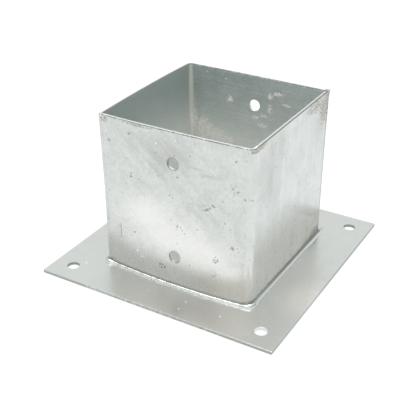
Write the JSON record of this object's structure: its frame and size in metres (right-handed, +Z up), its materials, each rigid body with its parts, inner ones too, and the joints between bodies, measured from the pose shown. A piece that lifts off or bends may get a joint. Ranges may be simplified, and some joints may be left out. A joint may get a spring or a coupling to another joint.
{
  "type": "timber post base",
  "caption": "Bolt-down post base: a square galvanised sleeve of two folded angles welded to a square base plate, with anchor holes in the plate and post bolt holes in two walls.",
  "frame": {"origin": "centre of the base plate's underside", "axes": "+Z up the sleeve; -Y and +Y are the walls with the bolt holes; the folds are at (+X, -Y) and (-X, +Y), the corner seams at (-X, -Y) and (+X, +Y)"},
  "size_m": [0.2, 0.2, 0.1308],
  "materials": {
    "galvanised_sheet": "hot-dip galvanised sheet steel, semi-bright with cloudy mottling and small pits",
    "galvanised_weld": "hot-dip galvanised weld bead, brighter and lumpy"
  },
  "bodies": {
    "root": {"base_plate": "galvanised_sheet", "front_angle": "galvanised_sheet", "rear_angle": "galvanised_sheet", "left_corner_seam": "galvanised_weld", "right_corner_seam": "galvanised_weld", "front_foot_weld": "galvanised_weld", "right_foot_weld": "galvanised_weld", "rear_foot_weld": "galvanised_weld", "left_foot_weld": "galvanised_weld"}
  },
  "joints": []
}
